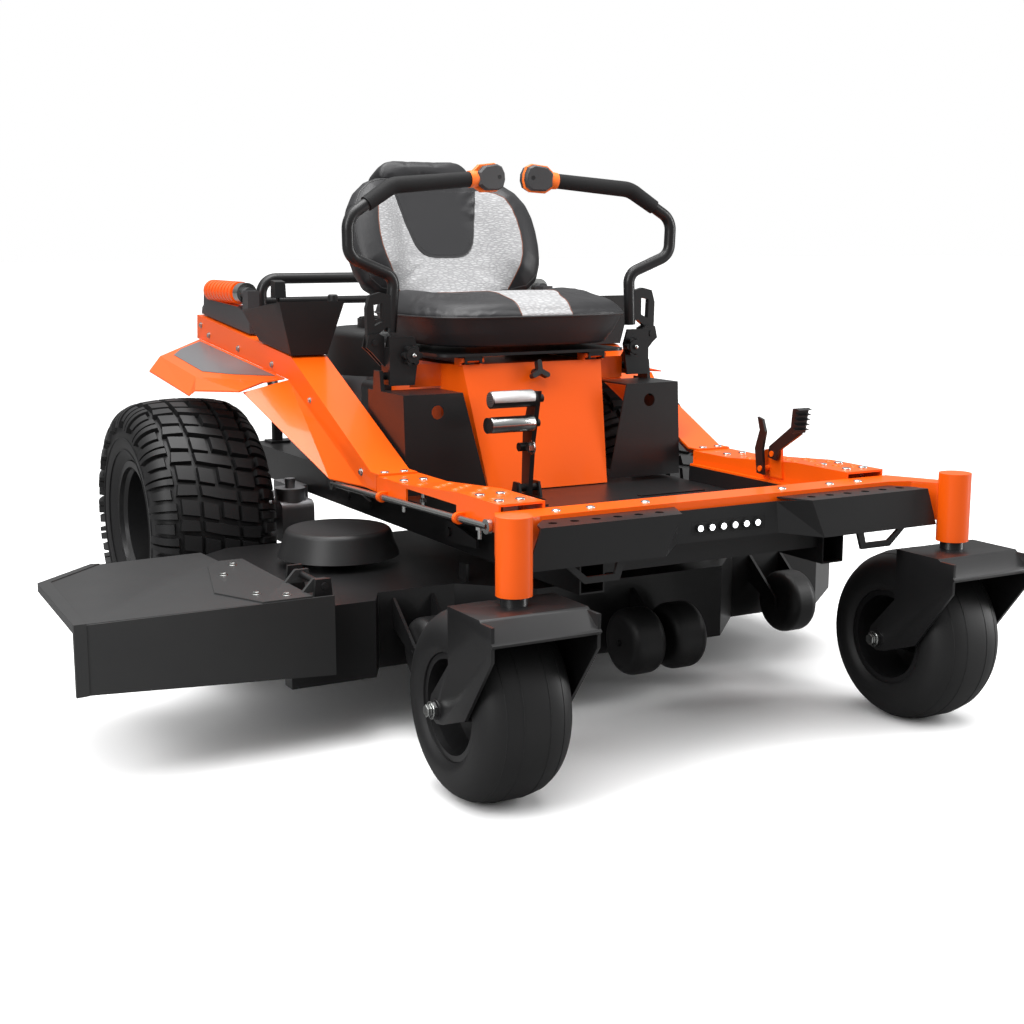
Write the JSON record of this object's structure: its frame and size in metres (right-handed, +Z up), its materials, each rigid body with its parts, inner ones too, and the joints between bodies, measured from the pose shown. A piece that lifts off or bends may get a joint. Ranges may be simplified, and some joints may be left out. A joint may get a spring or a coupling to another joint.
{
  "type": "zero turn mower",
  "caption": "Ride-on zero turn lawn mower with twin steering levers, sprung-back bucket seat, belly mowing deck with side chute, front casters and wide rear tyres.",
  "frame": {"origin": "middle of the footprint at ground level", "axes": "+Z up, +Y from the front casters towards the rear wheels, +X towards the operator's left"},
  "size_m": [1.7994, 1.899, 1.1003],
  "materials": {
    "orange_paint": "glossy orange powder coat",
    "black_paint": "satin black powder coat",
    "light_lens": "clear lamp lenses in a black housing",
    "black_plastic": "grained black plastic",
    "chute_rubber": "matt dark grey flexible plastic",
    "grip_foam": "black foam sleeve",
    "seat_vinyl": "black vinyl with light grey panels",
    "tyre_rubber": "black tyre rubber",
    "zinc_steel": "bright zinc plate",
    "blade_steel": "plain steel",
    "cast_aluminium": "cast aluminium",
    "spring_paint": "orange ribbed spring on a grey bracket"
  },
  "bodies": {
    "chassis": {"frame_rails": "black_paint", "front_crossmember": "orange_paint", "bumper_skin": "black_paint", "light_bar": "light_lens", "tow_hooks": "black_paint", "floor_pan": "black_paint", "side_rail_right": "orange_paint", "side_rail_left": "orange_paint", "seat_box": "orange_paint", "side_panels": "black_paint", "frame_bolts": "zinc_steel", "arm_right": "orange_paint", "arm_left": "orange_paint", "fenders": "orange_paint", "consoles": "black_plastic", "isolator_mount": "spring_paint", "fuel_tank": "black_plastic", "engine_block": "cast_aluminium", "engine_shroud": "black_plastic", "muffler": "blade_steel", "engine_guard": "black_paint", "transaxles": "cast_aluminium"},
    "caster_fork_right": {"caster_fork_right": "black_paint"},
    "caster_fork_left": {"caster_fork_left": "black_paint"},
    "caster_wheel_right": {"caster_rim_right": "black_paint", "caster_tyre_right": "tyre_rubber"},
    "caster_wheel_left": {"caster_rim_left": "black_paint", "caster_tyre_left": "tyre_rubber"},
    "rear_wheel_right": {"rear_rim_right": "black_paint", "rear_tyre_right": "tyre_rubber"},
    "rear_wheel_left": {"rear_rim_left": "black_paint", "rear_tyre_left": "tyre_rubber"},
    "control_right": {"control_bracket_right": "black_paint"},
    "control_left": {"control_bracket_left": "black_paint"},
    "lever_right": {"lever_tube_right": "black_paint", "lever_grip_right": "grip_foam"},
    "lever_left": {"lever_tube_left": "black_paint", "lever_grip_left": "grip_foam"},
    "seat_pan": {"seat_base": "black_paint"},
    "seat": {"seat_cushion": "seat_vinyl", "seat_backrest": "seat_vinyl", "headrest": "seat_vinyl"},
    "deck": {"deck_shell": "black_paint", "belt_covers": "black_plastic"},
    "chute": {"discharge_chute": "chute_rubber"},
    "blade_left": {"blade_left": "blade_steel"},
    "blade_centre": {"blade_centre": "blade_steel"},
    "blade_right": {"blade_right": "blade_steel"},
    "nose_rollers": {"nose_rollers": "black_plastic"},
    "gauge_wheel_left": {"gauge_wheel_left": "black_plastic"},
    "gauge_wheel_right": {"gauge_wheel_right": "black_plastic"},
    "lift_pedal": {"lift_pedal": "black_paint"},
    "front_lift_shaft": {"front_lift_shaft": "black_paint"},
    "rear_lift_shaft": {"rear_lift_shaft": "black_paint"},
    "lift_rod": {"lift_rod": "zinc_steel"},
    "brake_pedal": {"brake_pedal": "black_paint"},
    "brake_release": {"brake_release": "black_paint"},
    "throttle": {"throttle_lever": "black_plastic"},
    "pto_knob": {"pto_knob": "black_plastic"},
    "latch_knob": {"latch_knob": "black_plastic"}
  },
  "joints": [
    {"name": "caster_swivel_right", "type": "hinge", "parent": "chassis", "child": "caster_fork_right", "pos_m": [-0.29875, -0.8405, 0.42], "axis": [0, 0, 1], "continuous": true},
    {"name": "caster_spin_right", "type": "hinge", "parent": "caster_fork_right", "child": "caster_wheel_right", "pos_m": [-0.29875, -0.7545, 0.165], "axis": [1, 0, 0], "continuous": true},
    {"name": "rear_spin_right", "type": "hinge", "parent": "chassis", "child": "rear_wheel_right", "pos_m": [-0.41275, 0.5305, 0.2795], "axis": [1, 0, 0], "continuous": true},
    {"name": "drive_right", "type": "hinge", "parent": "chassis", "child": "control_right", "pos_m": [-0.12775, -0.0095, 0.64], "axis": [1, 0, 0], "range_deg": [-12, 16]},
    {"name": "swing_out_right", "type": "hinge", "parent": "control_right", "child": "lever_right", "pos_m": [-0.16775, -0.0045, 0.71], "axis": [0, -1, 0], "range_deg": [0, 28]},
    {"name": "caster_swivel_left", "type": "hinge", "parent": "chassis", "child": "caster_fork_left", "pos_m": [0.64325, -0.8405, 0.42], "axis": [0, 0, 1], "continuous": true},
    {"name": "caster_spin_left", "type": "hinge", "parent": "caster_fork_left", "child": "caster_wheel_left", "pos_m": [0.64325, -0.7545, 0.165], "axis": [1, 0, 0], "continuous": true},
    {"name": "rear_spin_left", "type": "hinge", "parent": "chassis", "child": "rear_wheel_left", "pos_m": [0.75725, 0.5305, 0.2795], "axis": [1, 0, 0], "continuous": true},
    {"name": "drive_left", "type": "hinge", "parent": "chassis", "child": "control_left", "pos_m": [0.47225, -0.0095, 0.64], "axis": [1, 0, 0], "range_deg": [-12, 16]},
    {"name": "swing_out_left", "type": "hinge", "parent": "control_left", "child": "lever_left", "pos_m": [0.51225, -0.0045, 0.71], "axis": [0, 1, 0], "range_deg": [0, 28]},
    {"name": "seat_tilt", "type": "hinge", "parent": "chassis", "child": "seat_pan", "pos_m": [0.17225, -0.0845, 0.672], "axis": [1, 0, 0], "range_deg": [0, 25]},
    {"name": "seat_slide", "type": "slide", "parent": "seat_pan", "child": "seat", "axis": [0, 1, 0], "range_m": [-0.05, 0.03]},
    {"name": "deck_lift", "type": "slide", "parent": "chassis", "child": "deck", "axis": [0, 0, 1], "range_m": [-0.089, 0]},
    {"name": "chute_hinge", "type": "hinge", "parent": "deck", "child": "chute", "pos_m": [-0.45275, -0.3545, 0.312], "axis": [0, 1, 0], "range_deg": [0, 85]},
    {"name": "blade_spin_left", "type": "hinge", "parent": "deck", "child": "blade_left", "pos_m": [0.61725, -0.0575, 0.14], "axis": [0, 0, 1], "continuous": true},
    {"name": "blade_spin_centre", "type": "hinge", "parent": "deck", "child": "blade_centre", "pos_m": [0.17225, -0.2175, 0.14], "axis": [0, 0, 1], "continuous": true},
    {"name": "blade_spin_right", "type": "hinge", "parent": "deck", "child": "blade_right", "pos_m": [-0.27275, -0.0575, 0.14], "axis": [0, 0, 1], "continuous": true},
    {"name": "nose_roller_spin", "type": "hinge", "parent": "deck", "child": "nose_rollers", "pos_m": [0.17225, -0.5545, 0.168], "axis": [1, 0, 0], "continuous": true},
    {"name": "gauge_spin_right", "type": "hinge", "parent": "deck", "child": "gauge_wheel_right", "pos_m": [-0.24475, -0.4325, 0.168], "axis": [1, 0, 0], "continuous": true},
    {"name": "gauge_spin_left", "type": "hinge", "parent": "deck", "child": "gauge_wheel_left", "pos_m": [0.58925, -0.4325, 0.168], "axis": [1, 0, 0], "continuous": true},
    {"name": "pedal_swing", "type": "hinge", "parent": "chassis", "child": "lift_pedal", "pos_m": [0.08225, -0.2095, 0.418], "axis": [1, 0, 0], "range_deg": [-26, 0]},
    {"name": "front_shaft_turn", "type": "hinge", "parent": "chassis", "child": "front_lift_shaft", "pos_m": [0.17225, -0.3145, 0.364], "axis": [1, 0, 0], "range_deg": [0, 46]},
    {"name": "rear_shaft_turn", "type": "hinge", "parent": "chassis", "child": "rear_lift_shaft", "pos_m": [0.17225, 0.1755, 0.364], "axis": [1, 0, 0], "range_deg": [0, 46]},
    {"name": "rod_slide", "type": "slide", "parent": "chassis", "child": "lift_rod", "axis": [0, 0.9996, -0.0296], "range_m": [0, 0.0625]},
    {"name": "brake_swing", "type": "hinge", "parent": "chassis", "child": "brake_pedal", "pos_m": [0.49125, -0.4925, 0.494], "axis": [1, 0, 0], "range_deg": [0, 22]},
    {"name": "release_swing", "type": "hinge", "parent": "chassis", "child": "brake_release", "pos_m": [0.48125, -0.4695, 0.462], "axis": [1, 0, 0], "range_deg": [0, 18]},
    {"name": "throttle_swing", "type": "hinge", "parent": "chassis", "child": "throttle", "pos_m": [-0.18575, 0.4895, 0.742], "axis": [1, 0, 0], "range_deg": [-20, 20]},
    {"name": "pto_pull", "type": "slide", "parent": "chassis", "child": "pto_knob", "axis": [0, 0, 1], "range_m": [0, 0.008]},
    {"name": "latch_turn", "type": "hinge", "parent": "chassis", "child": "latch_knob", "pos_m": [0.17225, -0.08378, 0.639], "axis": [0, -0.9647, 0.2634], "continuous": true}
  ],
  "couplings": [
    {"joint": "pedal_swing", "follows": "deck_lift", "rad_per_m": 5},
    {"joint": "front_shaft_turn", "follows": "deck_lift", "rad_per_m": -9},
    {"joint": "rear_shaft_turn", "follows": "deck_lift", "rad_per_m": -9},
    {"joint": "rod_slide", "follows": "deck_lift", "ratio": -0.7},
    {"joint": "blade_spin_left", "follows": "blade_spin_centre", "ratio": 1},
    {"joint": "blade_spin_right", "follows": "blade_spin_centre", "ratio": 1}
  ]
}
